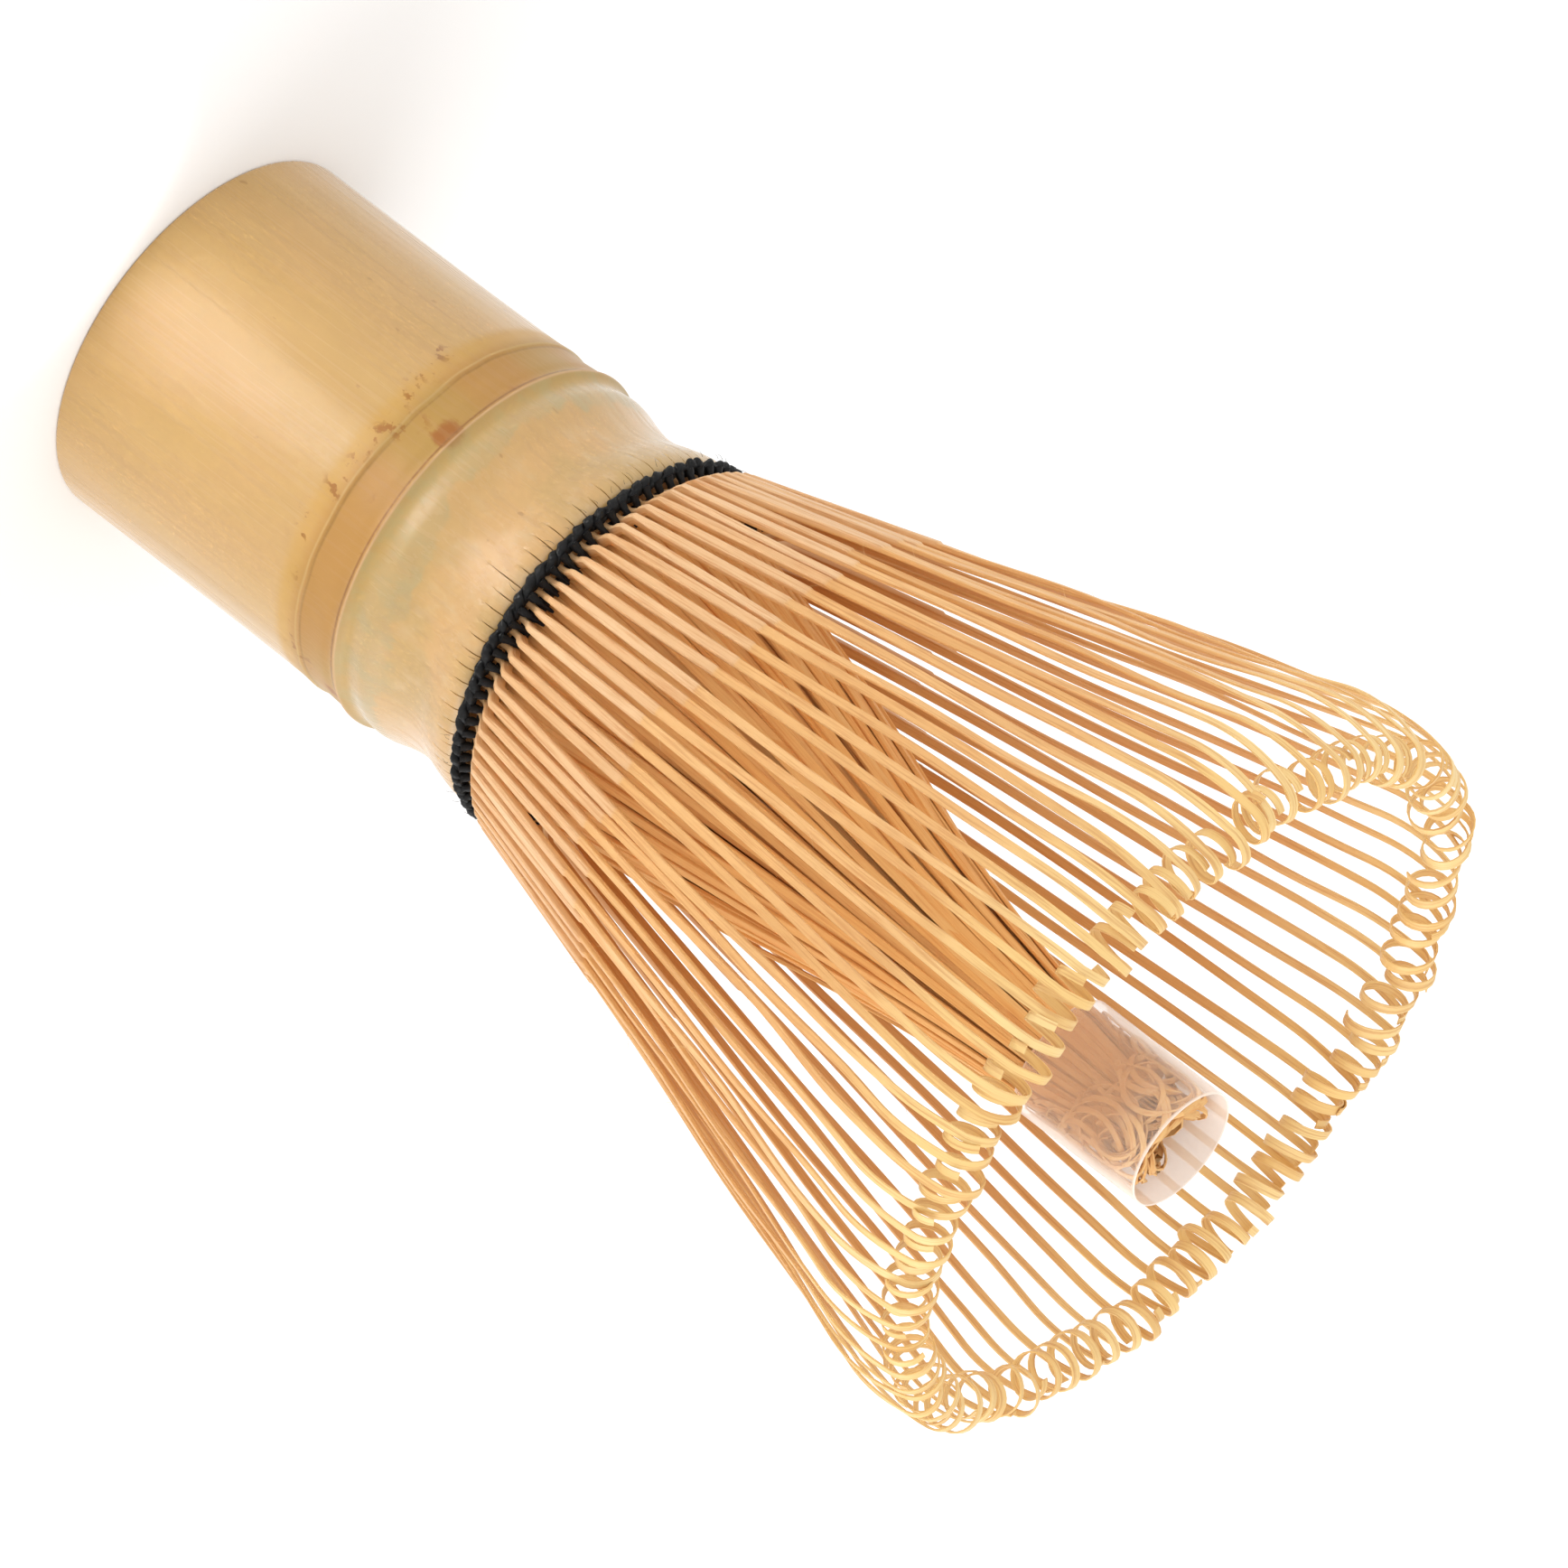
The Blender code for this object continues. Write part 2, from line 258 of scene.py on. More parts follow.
class CulmSkin(Recipe):
    """Natural culm skin, with the fields of noise that its marks share."""

    def __init__(self):
        super().__init__("culm_skin")
        self.location = self.place()
        self.level = self.height()
        self.streaks = self.streaky(0.015, 2400, 2)
        self.grain = self.streaky(0.04, 420, 3)
        self.clouds = self.streaky(0.7, 150, 5)
        self.mottle = self.streaky(0.6, 520, 4, 0.6)
        self.slow = self.streaky(0.4, 75, 3)
        self.wander = self.moved(self.level, self.clouds, 11 * MM)

    def streaky(self, stretch, scale, detail, roughness=0.55):
        """Noise drawn out along the culm."""
        return self.noise(self.stretched(self.location, 1, 1, stretch), scale, detail, roughness)

    def tones(self):
        """The handle's colour, and the neck's lighter and cloudier one."""
        fine = self.spread(self.grain, 0.35, 0.65)
        handle = self.mix(fine, skin_colour(220, 172, 90), skin_colour(227, 180, 101))
        pale = self.spread(self.clouds, 0.4, 0.65, 0.0, 0.5)
        handle = self.mix(pale, handle, skin_colour(230, 179, 106))
        cloudy = self.spread(self.clouds, 0.38, 0.6)
        neck = self.mix(cloudy, skin_colour(218, 175, 98), skin_colour(237, 185, 110))
        spotted = self.spread(self.mottle, 0.5, 0.72, 0.0, 0.5)
        neck = self.mix(spotted, neck, skin_colour(240, 204, 148))
        return self.mix(self.spread(self.level, *NECK_BLEND), handle, neck)

    def marks(self, colour):
        """A tan band with stains and a scar under the node, a green zone over it, specks and freckles."""
        dusk = self.band(self.level, *TAN_BAND, 0.9 * MM)
        uneven = self.spread(self.slow, 0.4, 0.58)
        tan = self.mix(uneven, skin_colour(196, 156, 80), skin_colour(202, 148, 76))
        colour = self.tint(colour, dusk, 0.85, tan)
        over_node = self.spread(self.level, NODE_HEIGHT, NODE_HEIGHT + 0.2 * MM)
        green = self.times(self.band(self.wander, *GREEN_BAND, 0.35 * MM), over_node)
        green = self.times(green, self.spread(self.mottle, 0.35, 0.6, 1.0, 0.45))
        colour = self.mix(green, colour, skin_colour(206, 177, 114))
        stains = self.spread(self.streaky(0.8, 230, 4), 0.6, 0.68)
        brown = self.times(self.band(self.level, *BROWN_BAND, 0.6 * MM), stains)
        brown = self.math("MAXIMUM", brown, self.times(self.scar(), dusk))
        colour = self.tint(colour, brown, 0.85, skin_colour(170, 100, 34))
        specks = self.spread(self.streaky(0.8, 1300, 3), 0.55, 0.63)
        specks = self.times(specks, self.band(self.wander, *SPECK_BAND, 0.9 * MM))
        specks = self.times(specks, self.spread(self.noise(self.location, 160, 2), 0.48, 0.6))
        colour = self.tint(colour, specks, 0.95, skin_colour(172, 112, 40))
        freckles = self.spread(self.streaky(0.5, 900, 2), 0.72, 0.76)
        return self.tint(colour, freckles, 0.6, skin_colour(180, 124, 40))

    def scar(self):
        """One in a ragged patch just under the node."""
        across = NODE_RADIUS * math.cos(SCAR_AZIMUTH), NODE_RADIUS * math.sin(SCAR_AZIMUTH)
        middle = (*across, NODE_HEIGHT - SCAR_DROP)
        away = self.node("ShaderNodeVectorMath", {0: self.location, 1: middle}, 1, operation="DISTANCE")
        return self.spread(self.moved(away, self.mottle, 2.4 * MM), 0.9 * MM, 1.5 * MM, 1.0, 0.0)

    def lines(self, colour):
        """The groove with a pale lip below it, and at the node a painted highlight on the ridge's crest with
        painted shade below the ridge.
        """
        waver = self.moved(self.level, self.slow, 1.2 * MM)
        lip = self.band(waver, *LIP_BAND, 0.1 * MM)
        colour = self.tint(colour, lip, 0.65, skin_colour(228, 190, 122))
        groove = self.band(waver, *GROOVE_BAND, 0.12 * MM)
        colour = self.tint(colour, groove, 0.6, skin_colour(158, 116, 54))
        # Painted highlight: the ridge's crest is made paler
        ridge_highlight = self.band(self.level, *RIDGE_HIGHLIGHT_BAND, 0.07 * MM)
        colour = self.tint(colour, ridge_highlight, 0.7, skin_colour(236, 192, 146))
        # Painted shade: a brown line on the underside of the ridge
        under_ridge_shade = self.band(self.level, *UNDER_RIDGE_SHADE_BAND, 0.1 * MM)
        return self.tint(colour, under_ridge_shade, 0.9, skin_colour(158, 104, 44))

    def cuts(self, colour):
        """Bare wood where the culm is cut, and painted shade in the cracks between the tines."""
        inside = self.mix(self.grain, skin_colour(220, 176, 120), skin_colour(198, 150, 92))
        colour = self.mix(self.attribute("cut"), colour, inside)
        # Painted shade: the cracks are darkened where the split mark is one
        return self.tint(colour, self.attribute("split"), 0.7, skin_colour(146, 92, 40))


def skin_material():
    """Waxy skin with streaks along the culm, duller round the node."""
    skin = CulmSkin()
    colour = skin.lines(skin.marks(skin.tones()))
    colour = skin.mix(skin.spread(skin.streaks, 0.4, 0.8, 0.0, 0.22), colour, skin_colour(200, 152, 98))
    skin.set(Base_Color=skin.cuts(colour), IOR=1.5)
    dull = skin.band(skin.level, *DULL_BAND, 0.9 * MM)
    skin.set(Coat_Weight=skin.spread(dull, 0, 1, 0.9, 0.15))
    skin.set(Coat_Roughness=skin.spread(skin.streaks, 0.35, 0.65, 0.17, 0.32))
    skin.set(Specular_IOR_Level=skin.spread(dull, 0, 1, 0.5, 0.25))
    skin.set(Roughness=skin.spread(skin.streaks, 0.3, 0.7, 0.36, 0.46))
    skin.bump(skin.math("ADD", skin.streaks, skin.times(skin.mottle, 0.5)), 0.1, 0.06 * MM)
    return skin.material


def outer_material():
    """Tines: pale skin on the outside below the peel, orange flesh inside, yellow at the curls."""
    tine = Recipe("outer_tine")
    grain = tine.attribute("grain", "Vector")
    fibres = tine.noise(tine.stretched(grain, 1, 1, 0.03), 6500, 3)
    slow = tine.noise(tine.stretched(grain, 0.2, 0.2, 1), 90, 2)
    tone = tine.attribute("tone")
    shaved = tine.mix(tone, wood(244, 192, 126), wood(234, 176, 106))
    skin = tine.mix(tone, wood(242, 197, 146), wood(233, 182, 126))
    flesh = tine.mix(tone, wood(236, 180, 112), wood(224, 160, 90))
    tip = tine.mix(tone, wood(255, 221, 152), wood(250, 207, 130))
    outside = tine.mix(tine.attribute("peel"), shaved, skin)
    colour = tine.mix(tine.attribute("outside"), flesh, outside)
    colour = tine.mix(tine.attribute("tip"), colour, tip)
    colour = tine.mix(tine.spread(fibres, 0.45, 0.72, 0.0, 0.6), colour, wood(204, 132, 64))
    colour = tine.mix(tine.spread(slow, 0.45, 0.75, 0.0, 0.3), colour, wood(214, 150, 84))
    tine.set(Base_Color=colour, Roughness=tine.spread(fibres, 0.3, 0.7, 0.38, 0.58), IOR=1.48)
    tine.bump(fibres, 0.3, 0.06 * MM)
    return tine.material


def inner_material():
    """Split flesh, darker and drier than the skin."""
    tine = Recipe("inner_tine")
    grain = tine.attribute("grain", "Vector")
    fibres = tine.noise(tine.stretched(grain, 1, 1, 0.03), 8000, 3)
    tone = tine.attribute("tone")
    colour = tine.mix(tone, wood(252, 200, 128), wood(246, 179, 100))
    colour = tine.mix(tine.attribute("tip"), colour, wood(246, 198, 132))
    colour = tine.mix(tine.spread(fibres, 0.4, 0.8, 0.0, 0.5), colour, wood(214, 120, 50))
    tine.set(Base_Color=colour, Specular_IOR_Level=0.2)
    tine.set(Roughness=tine.spread(fibres, 0.3, 0.7, 0.45, 0.65))
    tine.bump(fibres, 0.3, 0.05 * MM)
    return tine.material


def thread_material():
    """Black twisted cotton, a little paler where its fibres stand up."""
    thread = Recipe("black_cotton")
    place = thread.place()
    fuzz = thread.noise(place, 5200, 3)
    lumps = thread.noise(place, 900, 2)
    colour = thread.mix(thread.spread(fuzz, 0.45, 0.75), srgb(6, 6, 6), srgb(20, 19, 19))
    colour = thread.mix(thread.spread(lumps, 0.4, 0.7, 0.0, 0.5), colour, srgb(4, 4, 5))
    thread.set(Base_Color=colour, Specular_IOR_Level=0.25)
    thread.set(Roughness=thread.spread(fuzz, 0.3, 0.7, 0.4, 0.75))
    thread.bump(fuzz, 0.5, 0.06 * MM)
    return thread.material


def tube_material():
    """Thin plastic, milky at its edges and rims. Its back wall, away from the camera, is milkier as painted
    backlight, and elsewhere it is faintly tinted with the painted colour of the tines seen through it.
    """
    tube = Recipe("frosted_plastic")
    edge = tube.node("ShaderNodeLayerWeight", {"Blend": 0.5}, "Facing")
    # Painted backlight: the back wall, away from the camera, is made milkier
    painted_backlight = tube.attribute("painted_backlight")
    haze = tube.noise(tube.place(), 350, 3)
    milk = tube.math("MAXIMUM", tube.spread(edge, 0.25, 0.95, 0.1, 0.6), tube.times(painted_backlight, 0.6))
    milk = tube.math("ADD", milk, tube.spread(haze, 0.35, 0.65, -0.02, 0.03))
    milk = tube.math("MAXIMUM", milk, tube.times(tube.attribute("rim"), 0.75))
    # Painted colour of the tines seen through the wall, off at the back, at the edges and near the mouth
    painted_show_through = tube.spread(tube.height(), TUBE_HIGH.z - 4.5 * MM, TUBE_HIGH.z - 0.6 * MM, 1.0, 0.0)
    painted_show_through = tube.times(painted_show_through, tube.spread(painted_backlight, 0, 0.5, 1.0, 0.0))
    painted_show_through = tube.times(painted_show_through, tube.spread(edge, 0.2, 0.7, 1.0, 0.0))
    milk = tube.math("MAXIMUM", milk, tube.times(painted_show_through, 0.34))
    colour = tube.mix(painted_show_through, srgb(253, 239, 226), srgb(224, 180, 144))
    tube.set(Base_Color=colour, Alpha=milk, Roughness=0.22, IOR=1.5)
    return tube.material


# Mesh making

def build_mesh(name, shapes):
    """One mesh from shapes of (points, faces, marks), where marks are values for each point."""
    mesh = bpy.data.meshes.new(name)
    faces = []
    count = 0
    for points, shape_faces, _ in shapes:
        faces += [[corner + count for corner in face] for face in shape_faces]
        count += len(points)
    mesh.from_pydata(np.concatenate([shape[0] for shape in shapes]).tolist(), [], faces)
    for mark in shapes[0][2]:
        values = np.concatenate([shape[2][mark] for shape in shapes]).astype(np.float32)
        kind, key = ("FLOAT_VECTOR", "vector") if values.ndim == 2 else ("FLOAT", "value")
        layer = mesh.attributes.new(mark, kind, "POINT")
        layer.data.foreach_set(key, values.ravel())
    mesh.update()
    return mesh


def add_piece(name, mesh, material, body, slot, *replaced, sharp=40):
    mesh.materials.append(material)
    mesh.shade_smooth()
    mesh.set_sharp_from_angle(angle=math.radians(sharp))
    piece = bpy.data.objects.new(name, mesh)
    bpy.context.scene.collection.objects.link(piece)
    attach(piece, body)
    if replaced:
        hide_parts(*replaced)


def unit(vectors):
    return vectors / np.maximum(np.linalg.norm(vectors, axis=-1, keepdims=True), 1e-12)


def along(points):
    """Unit directions along a line of points."""
    return unit(np.gradient(points, axis=0))


def ring_faces(rings, sides, closed=False):
    """Quads between rings of points, facing out, with a cap at each end unless the rings close."""
    faces = []
    for ring in range(rings if closed else rings - 1):
        after = (ring + 1) % rings
        for side in range(sides):
            beside = (side + 1) % sides
            faces.append(
                [ring * sides + side, ring * sides + beside, after * sides + beside, after * sides + side]
            )
    if not closed:
        faces.append(list(range(sides))[::-1])
        faces.append([(rings - 1) * sides + side for side in range(sides)])
    return faces


STRIP_SIDES = 8


def strip(centre, across, width, thickness):
    """A strip of wood along a centre line: a rectangle with cut corners, swept.

    Gives its points and faces and, for each point, how far across and how far outwards it is.
    """
    forward = along(centre)
    across = unit(across - forward * np.sum(across * forward, axis=1, keepdims=True))
    outward = np.cross(forward, across)
    half_width = np.asarray(width) / 2
    half_thickness = np.asarray(thickness) / 2
    chamfer = 0.35 * np.minimum(half_width, half_thickness)
    flat = half_width - chamfer
    edge = half_thickness - chamfer
    sideways = np.stack([flat, -flat, -half_width, -half_width, -flat, flat, half_width, half_width], 1)
    out = np.stack(
        [half_thickness, half_thickness, edge, -edge, -half_thickness, -half_thickness, -edge, edge], 1
    )
    points = centre[:, None] + sideways[..., None] * across[:, None] + out[..., None] * outward[:, None]
    return points.reshape(-1, 3), ring_faces(len(centre), STRIP_SIDES), sideways.ravel(), out.ravel()


def cord(centre, lean, radius, sides=8, lobes=0, lobe_depth=0.0, twist=0.0, closed=False):
    """A round or lobed cord along a centre line. lean is any direction across it, and radius may vary."""
    if closed:
        forward = unit(np.roll(centre, -1, axis=0) - np.roll(centre, 1, axis=0))
    else:
        forward = along(centre)
    lean = unit(lean - forward * np.sum(lean * forward, axis=1, keepdims=True))
    other = np.cross(forward, lean)
    rings = len(centre)
    turn = np.arange(sides) * TURN / sides
    phase = np.arange(rings) * twist / rings
    swell = 1 + lobe_depth * np.cos(lobes * turn[None] + phase[:, None] * TURN)
    size = np.broadcast_to(np.asarray(radius), (rings,))[:, None] * swell
    points = (
        centre[:, None]
        + (size * np.cos(turn))[..., None] * lean[:, None]
        + (size * np.sin(turn))[..., None] * other[:, None]
    )
    return points.reshape(-1, 3), ring_faces(rings, sides, closed), {}


def round_axis(radius, sideways, height, azimuth):
    """Points at a radius and a sideways distance in the upright plane at an azimuth."""
    radius, sideways, height, azimuth = np.broadcast_arrays(radius, sideways, height, azimuth)
    return np.stack(
        [
            radius * np.cos(azimuth) - sideways * np.sin(azimuth),
            radius * np.sin(azimuth) + sideways * np.cos(azimuth),
            height,
        ],
        -1,
    )


# Handle

def skin_radius(height):
    """Radius of the culm's skin: a faint groove, a sharp ridge at the node, a waist and a neck."""
    knots = np.array([
        (0.0, HANDLE_RADIUS),
        (GROOVE_HEIGHT - 4.8 * MM, HANDLE_RADIUS),
        (GROOVE_HEIGHT - 1.4 * MM, HANDLE_RADIUS + 0.06 * MM),
        (GROOVE_HEIGHT - 0.5 * MM, HANDLE_RADIUS + 0.13 * MM),
        (GROOVE_HEIGHT - 0.2 * MM, HANDLE_RADIUS + 0.14 * MM),
        (GROOVE_HEIGHT, HANDLE_RADIUS + 0.04 * MM),
        (GROOVE_HEIGHT + 0.4 * MM, HANDLE_RADIUS),
        (NODE_HEIGHT - 1.6 * MM, HANDLE_RADIUS + 0.08 * MM),
        (NODE_HEIGHT - 0.5 * MM, HANDLE_RADIUS + 0.16 * MM),
        (NODE_HEIGHT - 0.2 * MM, NODE_RADIUS - 0.1 * MM),
        (NODE_HEIGHT, NODE_RADIUS),
        (NODE_HEIGHT + 0.18 * MM, NODE_RADIUS - 0.08 * MM),
        (NODE_HEIGHT + 0.4 * MM, NODE_RADIUS - 0.25 * MM),
        (WAIST_HEIGHT - 3.9 * MM, HANDLE_RADIUS - 0.02 * MM),
        (WAIST_HEIGHT - 1.8 * MM, WAIST_RADIUS + 0.25 * MM),
        (WAIST_HEIGHT, WAIST_RADIUS),
        (WAIST_HEIGHT + 1.4 * MM, WAIST_RADIUS + 0.1 * MM),
        (NECK_HEIGHT - 1.8 * MM, NECK_RADIUS - 0.3 * MM),
        (NECK_HEIGHT, NECK_RADIUS),
        (NECK_HEIGHT + 0.6 * MM, NECK_RADIUS - 0.1 * MM),
        (NECK_TOP, NECK_RADIUS - 0.7 * MM),
    ])
    heights, radii = knots.T
    slopes = np.gradient(radii, heights)
    place = np.clip(np.searchsorted(heights, height) - 1, 0, len(heights) - 2)
    step = heights[place + 1] - heights[place]
    share = (height - heights[place]) / step
    bend = slopes[place] * step
    bend_after = slopes[place + 1] * step
    return (
        (2 * share**3 - 3 * share**2 + 1) * radii[place]
        + (share**3 - 2 * share**2 + share) * bend
        + (3 * share**2 - 2 * share**3) * radii[place + 1]
        + (share**3 - share**2) * bend_after
    )


def skin_heights():
    """Heights down the skin, from the neck's rim: closest round the node and the groove."""
    neck = np.arange(NECK_TOP / MM, 32.0, -0.3)
    node = np.arange(32.0, 25.0, -0.1)
    plain = np.arange(25.0, END_ROUNDING / MM, -1.6)
    return np.concatenate([neck, node, plain]) * MM


def handle_rows():
    """(radius, height, cut) up the neck's bore, over the rim, down the skin and up the lower bore."""
    above = DIAPHRAGM_HEIGHT + DIAPHRAGM_THICKNESS
    dome = np.linspace(0.02, 1, 7)
    rows = [(UPPER_BORE_RADIUS * share, above + DIAPHRAGM_BULGE * share**4, 1) for share in dome]
    rows += [(UPPER_BORE_RADIUS, height, 1) for height in np.linspace(above + 2.4 * MM, NECK_TOP, 5)]
    rows += [(UPPER_BORE_RADIUS + 1.2 * MM, NECK_TOP, 1)]
    rows += [(skin_radius(height), height, 0) for height in skin_heights()]
    for turn in np.linspace(0, math.pi / 2, 7):
        radius = HANDLE_RADIUS - END_ROUNDING * (1 - math.cos(turn))
        rows.append((radius, END_ROUNDING * (1 - math.sin(turn)), smoothstep(turn, 1.3, 1.57)))
    end_face = np.linspace(HANDLE_RADIUS - 1.3 * MM, BORE_RADIUS + 0.3 * MM, 4)
    rows += [(radius, 0.0, 1) for radius in end_face]
    rows += [(BORE_RADIUS, 0.3 * MM, 1)]
    rows += [(BORE_RADIUS, height, 1) for height in np.linspace(2 * MM, DIAPHRAGM_HEIGHT - 2.4 * MM, 8)]
    below = DIAPHRAGM_HEIGHT
    rows += [(BORE_RADIUS * share, below - DIAPHRAGM_BULGE * share**4, 1) for share in dome[::-1]]
    return np.array(rows)


def split_ends():
    """The height at which each crack in the neck's skin ends. One in ten runs further down."""
    draw = random.Random(11)
    ends = []
    for _ in range(TINES):
        longest = LONG_SPLIT if draw.random() < 0.1 else SHORT_SPLIT
        ends.append(NECK_HEIGHT - draw.uniform(0.1 * MM, longest))
    return ends


def handle_columns(heights, cut, end, azimuth):
    """(azimuths, crack depths) of the columns of points at one crack and over the tine beside it."""
    none = np.zeros(len(heights))
    opening = smoothstep(heights, end, NECK_HEIGHT + 0.4 * MM)
    depth = np.where(cut < 0.5, np.clip(opening * 1.6, 0, 1), 0)
    half_width = SPLIT_HALF_WIDTH / NECK_RADIUS * (0.2 + 0.8 * opening)
    crack = [(azimuth - half_width, none), (azimuth + none, depth), (azimuth + half_width, none)]
    return crack + [(azimuth + TINE_ANGLE * share + none, none) for share in (0.27, 0.5, 0.73)]


def make_handle(material):
    """The turned culm, with a fine crack in its skin under each gap between the outer tines."""
    radii, heights, cut = handle_rows().T
    columns = []
    for tine, end in enumerate(split_ends()):
        columns += handle_columns(heights, cut, end, (tine + 0.5) * TINE_ANGLE)
    angle = np.stack([column[0] for column in columns], 1)
    split = np.stack([column[1] for column in columns], 1)
    heights = heights[:, None]
    wave = 1 + 0.0022 * np.cos(2 * angle + 0.7) + 0.0012 * np.cos(3 * angle + heights / (9 * MM))
    points = round_axis(radii[:, None] * wave - split * SPLIT_DEPTH, 0, heights, angle)
    # The split mark also darkens the cracks in the skin's colour as painted shade
    marks = {"split": split.ravel(), "cut": np.repeat(cut, len(columns))}
    shape = (points.reshape(-1, 3), ring_faces(len(radii), len(columns)), marks)
    mesh = build_mesh("culm_handle", [shape])
    add_piece("culm_handle", mesh, material, "whisk", "bamboo_skin", "handle", sharp=50)


# Tines

def grain_marks(sideways, out, length, shift, shift_along=0.0):
    """Where each point of a strip is in the wood's grain: across, outwards and along its fibres."""
    return np.stack([sideways + shift, out, np.repeat(length, STRIP_SIDES) + shift_along], 1)


# Outer tines

def crown_radius(azimuth):
    """The furthest that a tine reaches out: the crown is an oval, longer along X."""
    return REACH_X * REACH_Y / math.hypot(REACH_Y * math.cos(azimuth), REACH_X * math.sin(azimuth))


def shoulder_height(azimuth):
    """Where the tines bend inwards: a little higher towards -X."""
    return SHOULDER_HEIGHT + SHOULDER_LIFT * (1 - math.cos(azimuth)) / 2


def outer_spine(reach, shoulder_top, bend, curl_radius, turns):
    """(radius, height) along the outside of an outer tine, and how far round its curl each point is."""
    start = np.array((FLARE_RADIUS, FLARE_HEIGHT))
    heading = math.atan2(shoulder_top - FLARE_HEIGHT, reach - FLARE_RADIUS)
    shoulder = np.array((reach - BEND_LENGTH / bend * (1 - math.sin(heading)), shoulder_top))
    heading = math.atan2(*(shoulder - start)[::-1])
    root = [(ROOT_RADIUS, height) for height in np.linspace(ROOT_BOTTOM, ROOT_TOP, 4)]
    flare = []
    for share in (0.33, 0.66):
        radius = ROOT_RADIUS + (FLARE_RADIUS - ROOT_RADIUS) * smoothstep(share) * 0.92
        flare.append((radius, ROOT_TOP + (FLARE_HEIGHT - ROOT_TOP) * share))
    shaft = start + (shoulder - start) * np.linspace(0, 1, SHAFT_STATIONS)[:, None]
    curl_steps = max(6, int(turns * 22))
    bending = np.full(BEND_STATIONS, bend / BEND_STATIONS)
    turning = np.concatenate([bending, np.full(curl_steps, turns * TURN / curl_steps)])
    phase = np.concatenate([0 * bending, np.linspace(0, turns * TURN, curl_steps + 1)[1:]])
    curl_lengths = curl_radius * (1 - CURL_TIGHTENING * phase / TURN) * turning
    lengths = np.where(phase > 0, curl_lengths, BEND_LENGTH / BEND_STATIONS)
    headings = heading + np.cumsum(turning) - turning / 2
    end = shoulder + np.cumsum(lengths[:, None] * np.stack([np.cos(headings), np.sin(headings)], 1), axis=0)
    spine = np.concatenate([root, flare, shaft, end])
    return spine, np.concatenate([np.zeros(len(spine) - len(end)), phase])


def insert_peel(spine, phase, peel):
    """Adds two close stations at the peel, so that the step there is sharp."""
    heights = spine[:, 1]
    rising = phase == 0
    index = int(np.argmax(rising & (heights > peel)))
    before, after = spine[index - 1], spine[index]
    stations = [
        before + (after - before) * (height - before[1]) / (after[1] - before[1])
        for height in (peel - 0.12 * MM, peel + 0.12 * MM)
    ]
    spine = np.insert(spine, index, stations, axis=0)
    return spine, np.insert(phase, index, [0, 0])


def outer_line(azimuth, loose, draw):
    """The skin's line on one outer tine, with its own bends and curl.

    Gives its points and, for each one, the share of the way up, the turns round the curl and how far it is
    below the peel.
    """
    turns = draw.uniform(0.98, 1.3)
    if draw.random() < 0.09:
        turns = draw.uniform(0.42, 0.7)
    reach = crown_radius(azimuth) - draw.uniform(0.0, 0.3) * MM
    bend = math.radians(draw.uniform(21, 39))
    curl_radius = CURL_RADIUS * draw.uniform(0.86, 1.06)
    spine, phase = outer_spine(reach, shoulder_height(azimuth), bend, curl_radius, turns)
    peel = PEEL_HEIGHT + draw.uniform(-1.5, 1.5) * MM + 0.8 * MM * math.sin(azimuth * 2)
    while np.min(np.abs(spine[:, 1] - peel)) < 0.2 * MM:
        peel += 0.1 * MM
    spine, phase = insert_peel(spine, phase, peel)
    radius, height = spine.T
    share = np.where(phase > 0, 1, np.clip((height - FLARE_HEIGHT) / (TIP_HEIGHT - FLARE_HEIGHT), 0, 1))
    belly = np.sin(math.pi * share)
    ripple = np.sin(share * draw.uniform(7, 13) + draw.uniform(0, TURN)) * belly
    sideways = draw.gauss(0, 0.3 * MM) * loose * belly + draw.gauss(0, 0.14 * MM) * loose * share
    sideways = sideways + ripple * draw.uniform(0.03, 0.13) * MM
    wave = np.sin(share * draw.uniform(9, 15) + draw.uniform(0, TURN)) * smoothstep(share, 0.2, 0.7)
    radial = draw.uniform(-0.55, 0.2) * MM * belly
    radial = radial + wave * (1 - smoothstep(share, 0.8, 0.95)) * draw.uniform(0.05, 0.3) * MM
    around = phase / TURN
    lean = draw.uniform(-0.1, 0.1)
    drift = CURL_DRIFT * draw.uniform(0.75, 1.1) * around
    drift = drift + lean * CURL_RADIUS * (1 - np.cos(phase))
    line = round_axis(radius + radial, sideways + drift, height, azimuth)
    line[:, 2] -= draw.uniform(-0.2, 0.45) * MM * share
    below = np.where(phase > 0, 0, 1 - smoothstep(height, peel - 0.08 * MM, peel + 0.08 * MM))
    return line, share, around, below


def outer_section(share, around, below, draw):
    """Width and thickness along an outer tine. It thins to its tip, and its curl is a little wider."""
    curled = around > 0
    width = np.interp(share, [0, 0.04, 0.12, 0.3, 0.6, 0.95, 1], [0.5, 0.76, 0.84, 0.8, 0.75, 0.69, 0.75])
    width = width * MM * draw.uniform(0.9, 1.06) * np.where(curled, 1 + 0.1 * np.sin(math.pi * around), 1)
    width = width * (1 + 0.06 * below)
    thickness = np.interp(share, [0, 0.1, 0.3, 0.6, 0.9, 1], [0.72, 0.55, 0.42, 0.3, 0.2, 0.16]) * MM
    return width, thickness * np.where(curled, 1 - 0.3 * around / max(around[-1], 1), 1)


